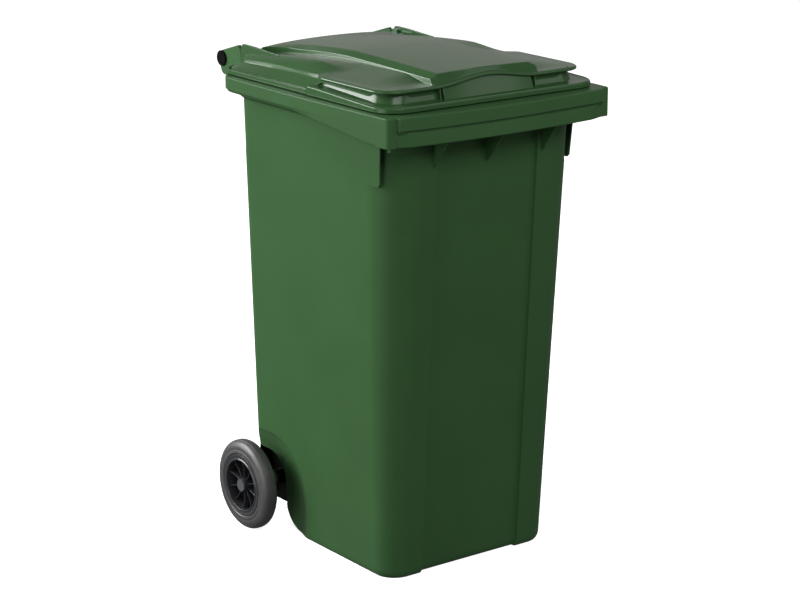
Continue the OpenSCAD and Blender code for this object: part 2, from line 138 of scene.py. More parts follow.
def rounded(corners):
    """Closed outline through corners, (x, y, radius, steps) if rounded and (x, y) if sharp."""
    points = []
    for i, (x, y, *rounding) in enumerate(corners):
        here = Vector((x, y))
        if not rounding:
            points.append((x, y))
            continue
        radius, steps = rounding
        before = (Vector(corners[i - 1][:2]) - here).normalized()
        after = (Vector(corners[(i + 1) % len(corners)][:2]) - here).normalized()
        opening = before.angle(after)
        centre = here + (before + after).normalized() * (radius / math.sin(opening / 2))
        reach = radius / math.tan(opening / 2)
        first = here + before * reach - centre
        last = here + after * reach - centre
        start = math.atan2(first.y, first.x)
        turn = math.atan2(last.y, last.x) - start
        turn = (turn + math.pi) % (2 * math.pi) - math.pi
        for step in range(steps + 1):
            angle = start + turn * step / steps
            points.append((centre.x + radius * math.cos(angle), centre.y + radius * math.sin(angle)))
    return points


def band(first, second):
    """Faces between two closed rings of point numbers."""
    count = len(first)
    return [(first[i], first[(i + 1) % count], second[(i + 1) % count], second[i]) for i in range(count)]


def solid(rings, name="part"):
    """Closed solid through a stack of closed rings with the same number of points."""
    count = len(rings[0])
    numbers = [range(r * count, (r + 1) * count) for r in range(len(rings))]
    faces = [face for pair in zip(numbers, numbers[1:]) for face in band(*pair)]
    faces += [tuple(reversed(numbers[0])), tuple(numbers[-1])]
    return make_object(name, [point for ring in rings for point in ring], faces)


def bevel(obj, width, segments=2, angle=35):
    """Rounds the sharp edges of a mesh."""
    bm = bmesh.new()
    bm.from_mesh(obj.data)
    sharp = [e for e in bm.edges if e.is_manifold and e.calc_face_angle() > math.radians(angle)]
    bmesh.ops.bevel(bm, geom=sharp, offset=width * MM, segments=segments, profile=0.5,
                    affect="EDGES", clamp_overlap=True)
    bm.to_mesh(obj.data)
    bm.free()
    return obj


def prism_x(outline, start, end, edge=0.0):
    """Outline of (y, z) points pushed along X between two positions, with rounded edges."""
    obj = solid([[(x, y, z) for y, z in outline] for x in (start, end)])
    return bevel(obj, edge) if edge else obj


def prism_z(outline, start, end):
    """Outline of (x, y) points pushed along Z between two heights."""
    return solid([[(x, y, z) for x, y in outline] for z in (start, end)])


def rod_x(y, z, profile, steps=64):
    """Round solid along X from a profile of (x, radius) points."""
    end = 360 - 360 / steps
    rings = [[(x, *place) for place in arc(y, z, radius, 0, end, steps - 1)] for x, radius in profile]
    return solid(rings)


def revolve_x(name, y, z, profile, steps):
    """Closed ring round an axis along X from a closed profile of (x, radius) points."""
    count = len(profile)
    points = []
    for step in range(steps):
        angle = 2 * math.pi * step / steps
        points += [(x, y + radius * math.cos(angle), z + radius * math.sin(angle)) for x, radius in profile]
    rings = [range(step * count, (step + 1) * count) for step in range(steps)]
    faces = [face for pair in zip(rings, rings[1:] + rings[:1]) for face in band(*pair)]
    return make_object(name, points, faces)


def combine(target, tool, operation):
    """Cuts the tool from the target or joins it to it, and removes the tool."""
    modifier = target.modifiers.new("combine", "BOOLEAN")
    modifier.object = tool
    modifier.operation = operation
    modifier.solver = "MANIFOLD"
    graph = bpy.context.evaluated_depsgraph_get()
    result = bpy.data.meshes.new_from_object(target.evaluated_get(graph))
    target.modifiers.clear()
    target.data = result
    bpy.data.objects.remove(tool)
    return target


def cut(target, *tools):
    """Cuts each tool from the target."""
    for tool in tools:
        combine(target, tool, "DIFFERENCE")
    return target


def join(target, *tools):
    """Joins each tool to the target."""
    for tool in tools:
        combine(target, tool, "UNION")
    return target


def mirrored(obj):
    """Copy of a piece on the other side of the middle plane."""
    copy = obj.copy()
    copy.data = obj.data.copy()
    bpy.context.scene.collection.objects.link(copy)
    for vertex in copy.data.vertices:
        vertex.co.x = -vertex.co.x
    copy.data.flip_normals()
    return copy


def both(maker):
    """A piece made by a function for the right side, and its mirror image."""
    right = maker()
    return right, mirrored(right)


def smooth(obj, angle=32):
    """Smooth shading that keeps flat faces flat and real corners crisp."""
    for polygon in obj.data.polygons:
        polygon.use_smooth = True
    obj.data.set_sharp_from_angle(angle=math.radians(angle))
    modifier = obj.modifiers.new("weighted normals", "WEIGHTED_NORMAL")
    modifier.keep_sharp = True
    modifier.weight = 80
    return obj


def mix(a, b, t):
    """Value on the way from a to b."""
    return a + (b - a) * t


def share(value, start, end):
    """How far a value is on the way from start to end, from 0 to 1."""
    return min(1.0, max(0.0, (value - start) / (end - start)))


def ease(value, start=0, end=1):
    """The same share with a smooth start and end."""
    t = share(value, start, end)
    return t * t * (3 - 2 * t)


def two_sided(right):
    """Corners of an outline from those on its right, with their mirror images."""
    return right + [(-x, *rest) for x, *rest in reversed(right)]


def quarter_turn(steps):
    """Sine and cosine at equal steps through a quarter turn."""
    angles = [math.radians(90 * step / steps) for step in range(steps + 1)]
    return [(math.sin(angle), math.cos(angle)) for angle in angles]


def spaced(*stops):
    """Positions through (start, end, steps) stretches that follow on from each other."""
    places = [stops[0][0]]
    for start, end, steps in stops:
        places += [start + (end - start) * i / steps for i in range(1, steps + 1)]
    return places


# ------ tub

# Wheel arch and the deeper well behind the wheel, both open downwards and to the rear
ARCH_Y = 165
ARCH_Z = 90
ARCH_RADIUS = 125
ARCH_DEPTH = 18
WELL_Y = 200
WELL_Z = 105
WELL_RADIUS = 57

# Rounded rear end of the foot, and the axle housing behind it with its webs
FOOT_RADIUS = 62
FOOT_CENTRE = 81
HOUSING_BOTTOM = 42
HOUSING_TOP = 126
HOUSING_FRONT = FOOT_CENTRE + FOOT_RADIUS
HOUSING_EDGE = 8
EDGE_MIDDLE = 2.3
WEB_SPACING = 87.5


def tub_half(z):
    """Half width of the tub at one level."""
    return mix(TUB_HALF_BASE, TUB_HALF_TOP, z / RIM_TOP)


def tub_front(z):
    """Front of the tub at one level."""
    return mix(TUB_FRONT_BASE, TUB_FRONT_TOP, z / RIM_TOP)


def tub_ring(z, inset, thickness=0.0):
    """Plan of the tub at one level. The thickness is the wall's, where the ring is of its inside."""
    half = tub_half(z) - inset
    front = tub_front(z) + inset
    rear = TUB_REAR - inset
    front_corner = mix(*TUB_FRONT_CORNER, z / RIM_TOP) - inset
    rear_corner = mix(*TUB_REAR_CORNER, z / RIM_TOP) - inset
    panel = PANEL_HALF + thickness
    slope = 1.6
    soft = 2.5
    outline = rounded(two_sided([
        (panel, front + PANEL_DEPTH, soft, 3),
        (panel + slope, front, soft, 3),
        (half, front, front_corner, 14),
        (half, rear, rear_corner, 10),
    ]))
    return [(x, y, z) for x, y in outline]


def tub_outside():
    """Outside of the tub, with a rounded foot and a faint mould line near the top."""
    foot_inset = 10
    foot_height = 18
    mould_line = 845
    mould_step = 0.5
    rings = [tub_ring(foot_height * (1 - cos), foot_inset * (1 - sin)) for sin, cos in quarter_turn(6)]
    for z in (300, 600, mould_line):
        rings.append(tub_ring(z, 0))
    for z in (mould_line + 1, RIM_TOP - 1):
        rings.append(tub_ring(z, mould_step))
    return solid(rings, "tub_body")


def tub_inside():
    """Space inside the tub, with a rounded edge round its floor, as a cutting tool."""
    floor = 6
    floor_edge = [(0, 14), (5, 8), (14, WALL)]
    rings = [tub_ring(floor + height, inset, WALL) for height, inset in floor_edge]
    rings.append(tub_ring(RIM_TOP + 6, WALL, WALL))
    return solid(rings)


def leaning(points, depth):
    """Points (y, z) at a depth below the right side wall, which leans outwards."""
    cos, sin = math.cos(SIDE_LEAN), math.sin(SIDE_LEAN)
    return [(TUB_HALF_BASE - depth * cos + z * sin, y, z * cos + depth * sin) for y, z in points]


def arch_tool(y, z, radius, profile, grow, end):
    """Cutting tool for the right side wall, open downwards and to the rear.

    The profile holds (distance out from the arch, depth) pairs.
    """
    under = -60
    rings = []
    for offset, depth in profile:
        reach = radius + offset + grow
        path = [(y - reach, under)] + arc(y, z, reach, 180, 90, 28) + [(end, z + reach), (end, under)]
        rings.append(leaning(path, depth + grow))
    return solid(rings)


def wheel_arch(grow=0.0):
    """Shallow recess with a soft edge in the right side wall, as a cutting tool."""
    edge = [(3, -9), (3, 0), (1.6, 0.3), (0, 1.1), (-2.5, 2.6), (-6, 4.8)]
    dish = [(-30, 12.6), (-42, 16.2), (-48, 17.5), (-53, ARCH_DEPTH)]
    return arch_tool(ARCH_Y, ARCH_Z, ARCH_RADIUS, edge + dish, grow, BEYOND)


def wheel_well(grow=0.0, end=TUB_REAR - 5):
    """Deep opening behind the right wheel, as a cutting tool."""
    edge = [(4, -9), (4, 16.6), (2.2, 17.8), (0.9, 19.2), (0.2, 20.8), (0, 22.5)]
    bottom = (0, 40)
    return arch_tool(WELL_Y, WELL_Z, WELL_RADIUS, edge + [bottom], grow, end)


def foot_space():
    """Space behind and under the rounded rear end of the foot, as a cutting tool."""
    under = -30
    high = HOUSING_BOTTOM + HOUSING_EDGE
    end = math.degrees(math.asin((HOUSING_BOTTOM - FOOT_RADIUS) / FOOT_RADIUS))
    outline = [(FOOT_CENTRE, under)]
    outline += arc(FOOT_CENTRE, FOOT_RADIUS, FOOT_RADIUS, -90, end, 16)
    outline += [(TUB_REAR - HOUSING_EDGE, HOUSING_BOTTOM),
                (TUB_REAR - EDGE_MIDDLE, HOUSING_BOTTOM + EDGE_MIDDLE),
                (TUB_REAR, high), (BEYOND, high), (BEYOND, under)]
    return prism_x(outline, -BEYOND, BEYOND)


def inner_blocks():
    """What stands up inside the tub: the rear end of the foot, the axle housing and the wheel arches."""
    front, top, under = HOUSING_FRONT - WALL, HOUSING_TOP + WALL, -20
    housing = [(front, under), (front, top - HOUSING_EDGE), (front + EDGE_MIDDLE, top - EDGE_MIDDLE),
               (front + HOUSING_EDGE, top), (BEYOND, top), (BEYOND, under)]
    foot = [(FOOT_CENTRE, under)] + arc(FOOT_CENTRE, FOOT_RADIUS, FOOT_RADIUS - WALL, -90, -4, 14)
    foot += [(BEYOND, FOOT_RADIUS), (BEYOND, under)]
    block = prism_x(housing, -BEYOND, BEYOND)
    tools = [prism_x(foot, -BEYOND, BEYOND)]
    tools += both(lambda: wheel_arch(WALL))
    tools += both(lambda: wheel_well(WALL, BEYOND))
    return join(block, *tools)


def rear_corner():
    """Square corner of the housing inside the wheel arch."""
    lean = 5
    half = TUB_HALF_BASE + lean - ARCH_DEPTH
    inner, front, rear = half - 50, 188, TUB_REAR - 0.4
    outline = rounded([(inner, front), (half, front), (half, rear, 5, 4), (inner, rear)])
    return prism_z(outline, HOUSING_BOTTOM, ARCH_Z + ARCH_RADIUS - 1)


def housing_bays():
    """Bays under the raised floor, open downwards, as cutting tools."""
    front, rear, bays, soft = HOUSING_FRONT + WALL, TUB_REAR - WALL, 4, 5
    tools = []
    for index in range(bays):
        low = (index - bays // 2) * WEB_SPACING + WALL / 2
        high = low + WEB_SPACING - WALL
        corners = [(low, front), (high, front), (high, rear), (low, rear)]
        tools.append(prism_z(rounded([(x, y, soft, 4) for x, y in corners]), -20, HOUSING_TOP))
    return tools


# ------ rim

SKIRT_FRONT = 943
SKIRT_SIDE = 969
RIM_FRONT_CORNER = 9
RIM_REAR_CORNER = 54
TUCK_START = -100
TUCK_END = -30

# Lifting lip: two bands with a groove between, bowed forward in the middle and leaning a little
LIP_HALF = 262
LIP_STAND = 8.7
LIP_TILT = 0.9
LIP_END_RUN = 3
LIP_BOW = -body_low.y - abs(RIM_FRONT) - LIP_STAND - LIP_TILT
LIP_BACK = RIM_FRONT + 12
LOWER_BAND_HALF = 228
GROOVE_LOW = 971
GROOVE_HIGH = 976


def side_bow(y):
    """How far the rim's long sides bow outwards."""
    reach = (y - BOW_MIDDLE) / BOW_REACH
    return SIDE_BOW * max(0.0, 1 - reach * reach)


def rim_ring(z, inset, tuck=0.0):
    """Plan of the rim at one level. The tuck draws only its rear part in."""
    half = RIM_CORNER_HALF
    start, end, steps = RIM_FRONT + 24, RIM_REAR - 70, 16
    right = [(half, RIM_FRONT, RIM_FRONT_CORNER, 6)]
    right += [(half, y) for y in spaced((start, end, steps))]
    right += [(half, RIM_REAR, RIM_REAR_CORNER, 14)]
    side_strip = half - 60
    middle_y = (RIM_REAR + RIM_FRONT) / 2
    reach_y = RIM_REAR - middle_y
    ring = []
    for x, y in rounded(two_sided(right)):
        bowed = x + math.copysign(side_bow(y), x) if abs(x) > side_strip else x
        drawn = inset + tuck * ease(y, TUCK_START, TUCK_END)
        ring.append((bowed * (1 - drawn / half), middle_y + (y - middle_y) * (1 - drawn / reach_y), z))
    return ring


def rim_outside():
    """Outside of the rim, with a soft top edge and its skirt tucked in towards the rear."""
    edge = 3.2
    tucked = 6
    roll = 9
    rings = [rim_ring(920, 0, tucked)]
    for sin, _ in quarter_turn(5):
        rings.append(rim_ring(SKIRT_SIDE - 1 + roll * sin, 0, tucked * (1 - sin)))
    for sin, cos in quarter_turn(4):
        rings.append(rim_ring(RIM_TOP - edge * (1 - sin), edge * (1 - cos)))
    return solid(rings)


def collar():
    """The tub's wall flares out under the rim."""
    flared = -15
    levels = [(952, 2), (954, 0), (SKIRT_SIDE - 2, flared), (RIM_TOP - 6, flared)]
    return solid([tub_ring(z, inset) for z, inset in levels])


def skirt_trim():
    """Space below the skirt, which gets deeper towards the front, as a cutting tool."""
    top, low = SKIRT_SIDE - 1, SKIRT_SIDE - 22
    start, end = -88, -295
    curve = 0.35
    steps = 12
    outline = [(BEYOND, top)]
    for step in range(steps + 1):
        t = step / steps
        outline.append((mix(start, end, t), mix(top, low, ease(t) * curve + t * (1 - curve))))
    outline += [(end - 18, low - 0.6), (end - 18, UNDER_RIM), (BEYOND, UNDER_RIM)]
    return prism_x(outline, -BEYOND, BEYOND)


def lip_front(x):
    """Front of the lifting lip, which bows forward in the middle."""
    reach = x / LIP_HALF
    return RIM_FRONT - LIP_STAND - LIP_BOW * (1 - reach * reach)


def lip_band(half, low, high, recess, radius_top, radius_low, tilt=0.0):
    """Bowed band of the lifting lip, which slopes back to the rim at its ends."""
    rings = []
    inside = half - LIP_END_RUN
    for x in spaced((-half, -inside, 2), (-inside, inside, 36), (inside, half, 2)):
        slope = max(0.0, (abs(x) - inside) / LIP_END_RUN)
        front = mix(lip_front(x), RIM_FRONT - 1.2, slope) + recess
        outline = rounded([
            (front, high, radius_top, 4),
            (front + tilt, low, radius_low, 3),
            (LIP_BACK, low),
            (LIP_BACK, high),
        ])
        rings.append([(x, y, z) for y, z in outline])
    return solid(rings)


def lower_front(x):
    """Front of the lip's lower band, which slopes back to the rim corners at its ends."""
    slope = max(0.0, (abs(x) - LOWER_BAND_HALF) / (LIP_HALF - LOWER_BAND_HALF))
    return mix(lip_front(x), RIM_FRONT - 0.6, slope)


def lower_band():
    """Lower band of the lip."""
    edge, corner, end = LOWER_BAND_HALF, LOWER_BAND_HALF + 1.5, LIP_HALF - 1
    back = RIM_FRONT + 10
    rings = []
    left = [(-end, -corner, 1), (-corner, -edge, 1)]
    right = [(edge, corner, 1), (corner, end, 1)]
    for x in spaced(*left, (-edge, edge, 32), *right):
        front = lower_front(x)
        outline = rounded([
            (front + 1.6, GROOVE_LOW, 1.2, 3),
            (front - LIP_TILT, SKIRT_FRONT, 2.6, 4),
            (back, SKIRT_FRONT),
            (back, GROOVE_LOW),
        ])
        rings.append([(x, y, z) for y, z in outline])
    return solid(rings)


def lip_pocket():
    """Hollow behind the lip, open downwards, as a cutting tool."""
    half, edge = LIP_HALF - WALL, LOWER_BAND_HALF
    top = RIM_TOP - WALL
    rings = []
    for x in spaced((-half, -edge, 3), (-edge, edge, 22), (edge, half, 3)):
        front = lower_front(x) + WALL + 2.5
        outline = [(front, UNDER_RIM), (front, top), (LIP_BACK, top), (LIP_BACK, UNDER_RIM)]
        rings.append([(x, y, z) for y, z in outline])
    return solid(rings)


def below_front():
    """Space below the front of the rim, as a cutting tool."""
    front, rear = -420, -280
    outline = [(-BEYOND, front), (BEYOND, front), (BEYOND, rear), (-BEYOND, rear)]
    return prism_z(outline, UNDER_RIM, SKIRT_FRONT)


def rim():
    """Turned-down rim with its lifting lip."""
    top = lip_band(LIP_HALF, GROOVE_HIGH, RIM_TOP, 0, 3.2, 1.2, tilt=-LIP_TILT)
    core = lip_band(LIP_HALF - 0.5, GROOVE_LOW - 0.5, RIM_TOP - 1, 4, 0.4, 0.4)
    piece = join(rim_outside(), top, core, lower_band())
    inside = solid([rim_ring(z, WALL) for z in (UNDER_RIM, RIM_TOP - WALL)])
    return cut(piece, inside, lip_pocket(), skirt_trim(), below_front())


# ------ plates, handle and axle housing

def gusset(x):
    """Triangular plate under the lifting lip."""
    low, top, half = 880, RIM_TOP - 2, 1.8
    inside = PANEL_DEPTH + 2
    front = RIM_FRONT - 4
    outline = [(tub_front(low) + inside, low), (tub_front(low), low), (front, SKIRT_FRONT - 6),
               (front, top), (tub_front(RIM_TOP) + inside, top)]
    return prism_x(outline, x - half, x + half, edge=0.6)


def corner_fin():
    """Plate that carries the right side wall forward under the rim corner."""
    rear, top, proud = -200, 960, 0.6
    outline = rounded([(rear, 851), (-249, 848, 2, 3), (-265, 847.5, 4, 3), (-271, 853, 4, 3),
                       (-280, top), (rear, top)])
    rings = [leaning(outline, depth) for depth in (-proud, WALL - proud)]
    return bevel(solid(rings), 0.8)


def corner_tab():
    """Small lug under the left front corner of the rim."""
    top, soft = 946, 2.5
    outline = rounded([(-345, top), (-345, 935, soft, 3), (-338, 934, soft, 3), (-335, top)])
    return prism_x(outline, -275, -270, edge=0.8)


def handle_arm(outer):
    """One plate of the handle's arms, from the rim back to the hinge and the bar below it."""
    front, top = RIM_REAR - 3, RIM_TOP - 2
    outline = [(front, SKIRT_SIDE), (front, top), (front + 20, top)]
    if outer == ARM_OUTER:
        outline += [(hinge.y - 70, hinge.z + 27), (hinge.y - 60, hinge.z + 35.5)]
    outline += arc(hinge.y, hinge.z, ARM_RADIUS, 74, -8, 12)
    outline += arc(BAR_Y, BAR_Z, BAR_RADIUS + 0.6, -12, -100, 12)
    return prism_x(outline, outer - ARM_THICKNESS, outer, edge=1.4)


def handle_bar():
    """Bar between the handle's arms, a little thicker where it meets them."""
    end = ARM_INNER + 1
    flared = [(end, BAR_RADIUS + 1.8), (end - 4, BAR_RADIUS + 0.9), (end - 10, BAR_RADIUS)]
    profile = [(-x, radius) for x, radius in flared] + [(x, radius) for x, radius in reversed(flared)]
    return rod_x(BAR_Y, BAR_Z, profile)


def axle_boss():
    """Tapered boss that the axle leaves the housing through, on the right."""
    inner, outer = 171, 243.4
    profile = [(inner, 19.5), (inner + 8, 18), (outer - 1.2, 16.8), (outer, 15.6)]
    return rod_x(wheel.y, wheel.z, profile, steps=48)


def web_boss(x):
    """Thicker place round the axle on one web of the housing."""
    half, radius, edge = 9, 17, 1
    profile = [(x - half, radius - edge), (x - half + edge, radius), (x + half - edge, radius),
               (x + half, radius - edge)]
    return rod_x(wheel.y, wheel.z, profile, steps=48)


def bore(y, z, start, end, radius, steps=64):
    """Straight hole along X, as a cutting tool."""
    return rod_x(y, z, [(start, radius), (end, radius)], steps)


def tub_body():
    """The whole moulded body as one closed shell."""
    gusset_places = (-138.5, 0, 138.5)
    web_places = (-WEB_SPACING, 0, WEB_SPACING)
    axle_bore = 10.05
    body = tub_outside()
    cut(body, *both(wheel_arch))
    gussets = [gusset(x) for x in gusset_places]
    join(body, *both(rear_corner), collar(), rim(), *gussets, *both(corner_fin), corner_tab())
    cut(body, *both(wheel_well), foot_space())
    cut(body, cut(tub_inside(), inner_blocks()), *housing_bays())
    arms = [*both(lambda: handle_arm(ARM_OUTER)), *both(lambda: handle_arm(ARM_INNER + ARM_THICKNESS))]
    bosses = [*both(axle_boss), *[web_boss(x) for x in web_places]]
    join(body, *arms, handle_bar(), *bosses)
    cut(body, bore(wheel.y, wheel.z, -BEYOND, BEYOND, axle_bore, steps=48))
    cut(body, *both(lambda: bore(hinge.y, hinge.z, ARM_INNER, 240, PIN_BORE)))
    return smooth(body)


# ------ lid

LID_BOTTOM = RIM_TOP + 2
LID_HALF_REAR = 270
LID_HALF_FRONT = lid_high.x - 5
LID_REAR = 274
LID_FRONT = -335
REAR_TAPER = 12
LIP_EDGE_HALF = 257.5
LIP_EDGE_FRONT = -306

# Rear ends of the deeper front skirt and of the overhanging lip, and the runs over which they end
SKIRT_END = -57
SKIRT_RUN = 6
LIP_END = -70
LIP_RUN = 44

# Deck: flat border at the front, curved behind, and highest along the crown's foot
DECK = 1044
SPINE = 138
SPINE_TOP = 1056.5
LIP_BORDER = 236
CURVE_START = 196
STRAP_RISE = 4

# Crown: the raised middle, with a shoulder and a steep wall on each side
CROWN_HALF = 116
CROWN_TOP = lid_high.z - 0.4
CROWN_FRONT = -291
CROWN_REAR = 258
SHOULDER_RUN = 15
SHOULDER_DROP = 6.8
SHOULDER_DROP_REAR = 1.5
WALL_START = 131.6
WALL_END = 138.4
WALL_POWER = 13
FLARE = 46
FLARE_START = 150

# Grid of lines over the deck and crown. Between the keep lines it isn't bent into the corners
GRID_HALF = 216
GRID_HALF_REAR = 197
GRID_FRONT = -297
GRID_REAR = 262
TURN = 36
TURN_STEPS = 10
KEEP_X = 144
KEEP_FRONT = -94
KEEP_REAR = -46
GRID_X = spaced((0, 110, 8), (110, 131, 9), (131, 134, 5), (134, 136, 20), (136, 139, 5), (139, KEEP_X, 2),
                (KEEP_X, GRID_HALF - TURN, 3), (GRID_HALF - TURN, GRID_HALF, TURN_STEPS))
GRID_X = [-x for x in reversed(GRID_X[1:])] + GRID_X
GRID_Y = spaced((GRID_FRONT, GRID_FRONT + TURN, 12), (GRID_FRONT + TURN, KEEP_FRONT, 9),
                (KEEP_FRONT, KEEP_REAR, 20), (KEEP_REAR, GRID_REAR - TURN, 14),
                (GRID_REAR - TURN, GRID_REAR, 12))

# Hinge straps, between the plates of the handle's arms
STRAP_OUTER = ARM_OUTER - ARM_THICKNESS - 1.5
STRAP_INNER = STRAP_OUTER - 14


def soft_edge(y):
    """Height of the rounded edge round the rear half, which falls gently towards the rear."""
    start, slope = -9, 0.047
    return DECK - 7 - slope * max(0.0, y - start)


def spine_height(y):
    """Height of the deck beside the crown: it falls towards the rear, and at the front to the lip."""
    fall, fall_start, fall_run = 20.5, -60, 303
    rear = max(0.0, y - fall_start) / fall_run
    return SPINE_TOP - fall * rear ** 1.7 - (SPINE_TOP - DECK) * ease(y, -205, -285)


def grip_arch(x, y):
    """The front edge rises over the hand grip."""
    half, rise = 132, 14
    across = math.cos(math.pi * min(1.0, abs(x) / half) / 2) ** 2
    return rise * across * ease(y, -252, -298)


def deck_height(x, y):
    """The deck slopes from the crown to a flat border in front, and curves down to a soft edge behind."""
    across = abs(x)
    front = mix(DECK, max(DECK, spine_height(y)), share(across, LIP_BORDER, SPINE))
    spine = spine_height(y) + STRAP_RISE * ease(across, SPINE, SPINE + 60)
    rear = mix(spine, soft_edge(y), share(across, CURVE_START, LIP_BORDER) ** 1.5)
    return mix(front, rear, ease(y, -100, 10)) + grip_arch(x, y)


def crown_height(x, y):
    """The crown is highest a little behind its middle and is domed across."""
    summit, front_fall, rear_fall = -10, 7.5, 16.5
    front_run, rear_run = 280, 268
    front = max(0.0, summit - y) / front_run
    rear = max(0.0, y - summit) / rear_run
    middle = CROWN_TOP - front_fall * front ** 1.4 - rear_fall * rear ** 1.9
    dome = mix(2.2, 6.5, ease(y, -20, 260))
    return middle - dome * (abs(x) / CROWN_HALF) ** 2.4


def flare(y):
    """How far the crown's sides spread outwards towards the hinge straps."""
    return FLARE * share(y, FLARE_START, GRID_REAR) ** 2.8


def grid_x(x, y):
    """Place across the lid of a grid line: the lines follow the crown's sides and the deck's edge."""
    across = abs(x)
    if across <= KEEP_X:
        return x + math.copysign(flare(y) * ease(across, 0, CROWN_HALF), x)
    edge = mix(GRID_HALF, GRID_HALF_REAR, ease(y, KEEP_REAR, GRID_REAR))
    return math.copysign(mix(KEEP_X + flare(y), edge, (across - KEEP_X) / (GRID_HALF - KEEP_X)), x)


def wall_step(across):
    """How far down the crown's steep side wall a line is, with a small round at its top and foot."""
    t = share(across, WALL_START, WALL_END)
    return t ** WALL_POWER / (t ** WALL_POWER + (1 - t) ** WALL_POWER)


def top_height(x, y):
    """Height of the lid's upper surface on a grid line, inside its deck edge."""
    across = abs(x)
    plain = deck_height(grid_x(x, y), y)
    drop = mix(SHOULDER_DROP, SHOULDER_DROP_REAR, ease(y, FLARE_START, FLARE_START + 90))
    shoulder = crown_height(CROWN_HALF, y) - drop * (across - CROWN_HALF) / SHOULDER_RUN
    crown = crown_height(x, y) if across < CROWN_HALF else shoulder
    side = 1 - wall_step(across)
    front = ease(y, CROWN_FRONT - 7, CROWN_FRONT + 4)
    rear = 1 - ease(y, CROWN_REAR - 6, CROWN_REAR + 4)
    return mix(plain, max(crown, plain), side * front * rear)


def boundary():
    """The grid's boundary, anticlockwise from its front left corner, as (side, x, y)."""
    front = [("front", x, GRID_FRONT) for x in GRID_X[:-1]]
    right = [("right", GRID_HALF, y) for y in GRID_Y[:-1]]
    rear = [("rear", x, GRID_REAR) for x in reversed(GRID_X[1:])]
    left = [("left", -GRID_HALF, y) for y in reversed(GRID_Y[1:])]
    return front + right + rear + left


def along(place, keep, end, edge, pushed=0.0):
    """Place of a grid line on a ring's straight, and how far it is into the corner as an angle."""
    if place <= keep:
        return place + pushed * ease(place, 0, CROWN_HALF), 0.0
    start = end - TURN
    if place <= start:
        return mix(keep + pushed, edge, (place - keep) / (start - keep)), 0.0
    return edge, math.pi / 4 * (place - start) / TURN


def on_plan(side, x, y, front_profile, rear_profile, shift, run):
    """Place of a boundary point on a rounded plan. Its half width changes at shift and tapers behind."""
    half_front, front, front_corner, _ = front_profile
    half_rear, rear, rear_corner, _, taper = rear_profile
    ends = {"front": (half_front, front, front_corner, 1, 0.0),
            "rear": (half_rear - taper, rear, rear_corner, -1, FLARE)}
    if side in ends:
        half, end, corner, inwards, pushed = ends[side]
        across, turn = along(abs(x), KEEP_X, GRID_HALF, half - corner, pushed)
        across += corner * math.sin(turn)
        return math.copysign(across, x), end + inwards * corner * (1 - math.cos(turn))
    if y < shift:
        corner = front_corner
        reach, turn = along(-y, -KEEP_FRONT, -GRID_FRONT, -front - corner)
        py = -reach - corner * math.sin(turn)
    else:
        corner = rear_corner
        reach, turn = along(y, KEEP_REAR, GRID_REAR, rear - corner)
        py = reach + corner * math.sin(turn)
    narrow = half_rear - taper * ease(py, shift, rear - rear_corner)
    half = mix(narrow, half_front, ease(y, shift + run / 2, shift - run / 2))
    return math.copysign(half - corner * (1 - math.cos(turn)), x), py


def skirt_top(y):
    """Top of the deeper skirt round the front half, lowest at the front."""
    high, low = 1025, 1016.5
    forward = (SKIRT_END - y) / 240
    return mix(high, low, ease(forward) * 0.4 + min(1.0, forward) * 0.6)


def lid_ring(front_profile, rear_profile, shift):
    """One ring round the lid. A profile is (half width, end, corner, height), and a taper for the rear."""
    front_height, rear_height = front_profile[3], rear_profile[3]
    run = LIP_RUN if shift == LIP_END else SKIRT_RUN
    ring = []
    for side, gx, gy in boundary():
        x, y = on_plan(side, gx, gy, front_profile, rear_profile, shift, run)
        towards_front = ease(y, shift + run / 2, shift - run / 2)
        ring.append((x, y, mix(rear_height(x, y), front_height(x, y), towards_front)))
    return ring


def lip_at(inset, drop):
    """Profile on the overhanging edge round the front half."""
    front = inset if inset < 4 else 4 + 0.2 * (inset - 4)
    return LIP_EDGE_HALF - inset, LIP_EDGE_FRONT + front, 50 - inset * 0.45, under_deck(drop)


def rear_at(out, height):
    """Profile round the rear half, at a distance in from the flange's edge at the sides."""
    taper = REAR_TAPER * ease(out, 10, 46)
    return LID_HALF_REAR - out, LID_REAR - 0.19 * out, 50 - 0.5 * out, height, taper


def skirt_at(inset, corner, height):
    """Profile round the front half, at a distance in from the skirt's face."""
    return LID_HALF_FRONT + 2.5 - inset, LID_FRONT + inset, corner, height


def under_deck(drop):
    """Height function that follows the deck at a depth below it."""
    return lambda x, y: deck_height(x, y) - drop


def wall_share(part):
    """Height function at a part of the way down the sloping wall of the rear half."""
    return lambda x, y: mix(soft_edge(y), 1015, part)


def fixed(level):
    """Height function of a level line."""
    return lambda x, y: level


def above_skirt(level):
    """Height function that follows the top of the front skirt."""
    return lambda x, y: skirt_top(y) + level


